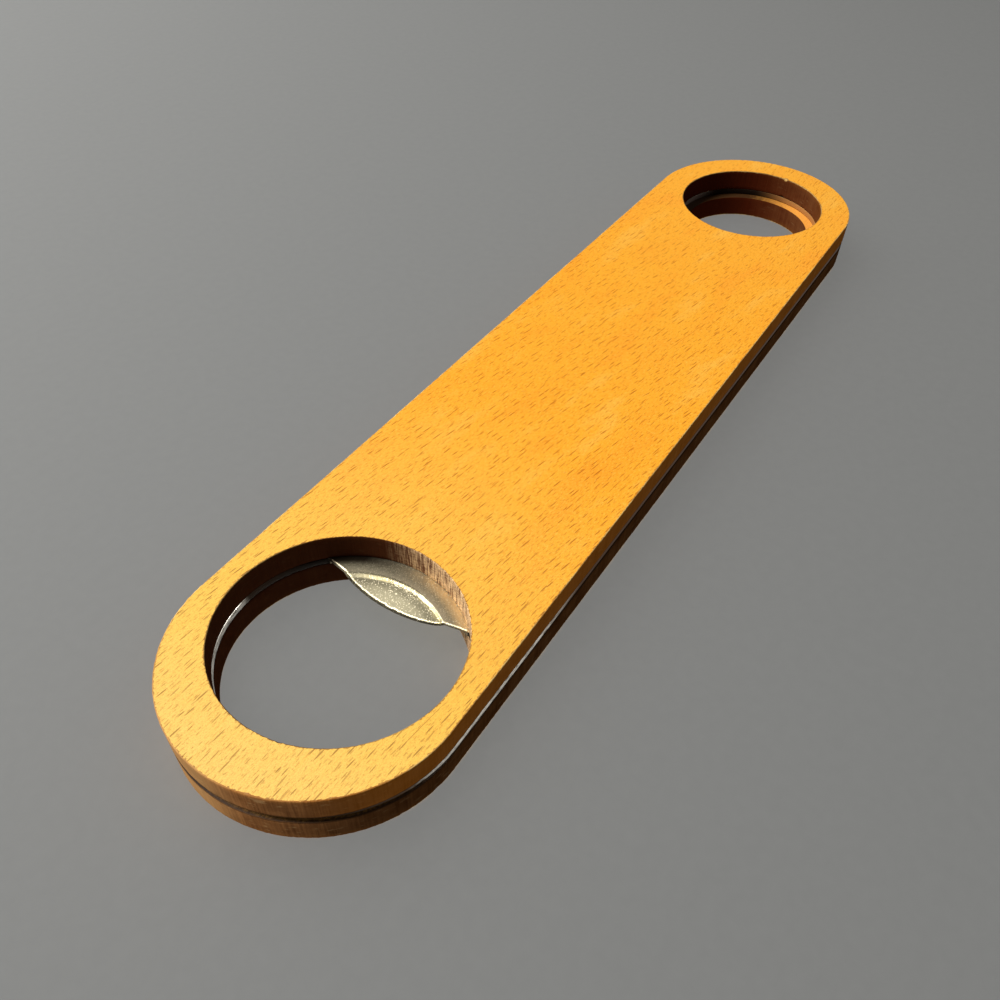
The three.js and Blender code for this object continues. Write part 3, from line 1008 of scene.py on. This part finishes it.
top_scale = build_scale(
    "top_scale_finished", TOP_LOW.z, TOP_HIGH.z, HANGING_RADIUS, TOP_SEED,
    [beech_top, char_top, glued_top],
)
bottom_scale = build_scale(
    "bottom_scale_finished", BOTTOM_LOW.z, BOTTOM_HIGH.z, LEDGE_RADIUS, BOTTOM_SEED,
    [beech_bottom, char_bottom, glued_bottom],
)
blade = build_blade([steel_face, steel_edge])

for piece, node, slot in (
    (top_scale, "top_scale", "beech"),
    (bottom_scale, "bottom_scale", "beech"),
    (blade, "opener_blade", "stainless"),
):
    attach(piece, "root")
    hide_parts(node)

FILMS = ("upper_adhesive_film", "lower_adhesive_film")
for name in FILMS:
    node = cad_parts[name]
    node.data.materials.clear()
    node.data.materials.append(glue)

# ---------- floor, lights and camera ----------

FLOOR_REACH = 12.0          # metres each way
FLOOR_Z = -0.00002          # a hair below the opener, so the two surfaces never coincide

floor_mesh = bpy.data.meshes.new("floor")
corners = [(x * FLOOR_REACH, y * FLOOR_REACH, FLOOR_Z) for x, y in ((-1, -1), (1, -1), (1, 1), (-1, 1))]
floor_mesh.from_pydata(corners, [], [(0, 1, 2, 3)])
floor_mesh.materials.append(floor_paint)
floor = bpy.data.objects.new("floor", floor_mesh)
bpy.context.scene.collection.objects.link(floor)


def area_light(name, azimuth, elevation, distance, size, power, color):
    """A round lamp that looks at the opener's middle from azimuth and elevation, in degrees."""
    light = bpy.data.lights.new(name, "AREA")
    light.shape = "DISK"
    light.size = size
    light.energy = power
    light.color = color
    lamp = bpy.data.objects.new(name, light)
    a, e = math.radians(azimuth), math.radians(elevation)
    ray = Vector((math.cos(e) * math.cos(a), math.cos(e) * math.sin(a), math.sin(e)))
    lamp.location = ray * distance
    lamp.rotation_euler = ray.to_track_quat("Z", "Y").to_euler()
    bpy.context.scene.collection.objects.link(lamp)
    return lamp


def light_group(name, things, state):
    """Things for a lamp to be limited to (INCLUDE), or to pass over (EXCLUDE)."""
    group = bpy.data.collections.new(name)
    for thing in things:
        group.objects.link(thing)
    for entry in group.collection_objects:
        entry.light_linking.link_state = state
    return group


key = area_light("key", 128, 52, 1.5, 0.55, 30.8, (1.0, 0.94, 0.82))
key.light_linking.receiver_collection = light_group("not_by_key", [floor], "EXCLUDE")
edge_strip = area_light("edge_strip", -56, 16, 1.5, 0.3, 36.0, (1.0, 0.97, 0.92))
edge_strip.light_linking.receiver_collection = light_group("by_strip", [blade], "INCLUDE")
under_light = area_light("under_light", 128, -86, 1.5, 1.0, 16.0, (1.0, 0.95, 0.86))
under_light.light_linking.receiver_collection = light_group("by_under_light", [floor], "EXCLUDE")
under_light.light_linking.blocker_collection = light_group("through_floor", [floor], "EXCLUDE")

# The wash lights the floor as if the opener weren't there, and the fill gives it a faint soft shadow.
for name, power in (("floor_wash", 7.5), ("floor_fill", 1.1)):
    wash = area_light(name, 102, 47, 0.8, 1.1, power, (1.0, 0.985, 0.955))
    wash.light_linking.receiver_collection = light_group("by_" + name, [floor], "INCLUDE")
    if name == "floor_wash":
        solids = [top_scale, bottom_scale, blade] + [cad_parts[n] for n in FILMS]
        wash.light_linking.blocker_collection = light_group("unshadowed", solids, "EXCLUDE")

world = bpy.data.worlds.new("studio")
world.use_nodes = True
world.node_tree.nodes["Background"].inputs["Color"].default_value = (1.0, 0.97, 0.92, 1.0)
world.node_tree.nodes["Background"].inputs["Strength"].default_value = 0.16
bpy.context.scene.world = world
bpy.context.scene.view_settings.view_transform = "Standard"

camera_data = bpy.data.cameras.new("camera")
camera_data.sensor_width = 36.0
camera_data.clip_start = 0.01
camera_data.lens = 32.24
camera_data.shift_x = 0.0096
camera_data.shift_y = 0.0743
camera = bpy.data.objects.new("camera", camera_data)
camera.location = Vector((-114.0, -52.2, 98.6)) * MM
heading, pitch, roll = math.radians(32.09), math.radians(-48.83), math.radians(1.04)
sight = Vector((
    math.cos(pitch) * math.cos(heading),
    math.cos(pitch) * math.sin(heading),
    math.sin(pitch),
))
turn = sight.to_track_quat("-Z", "Y").to_matrix().to_4x4()
camera.rotation_euler = (turn @ Matrix.Rotation(roll, 4, "Z")).to_euler()
bpy.context.scene.collection.objects.link(camera)
bpy.context.scene.camera = camera
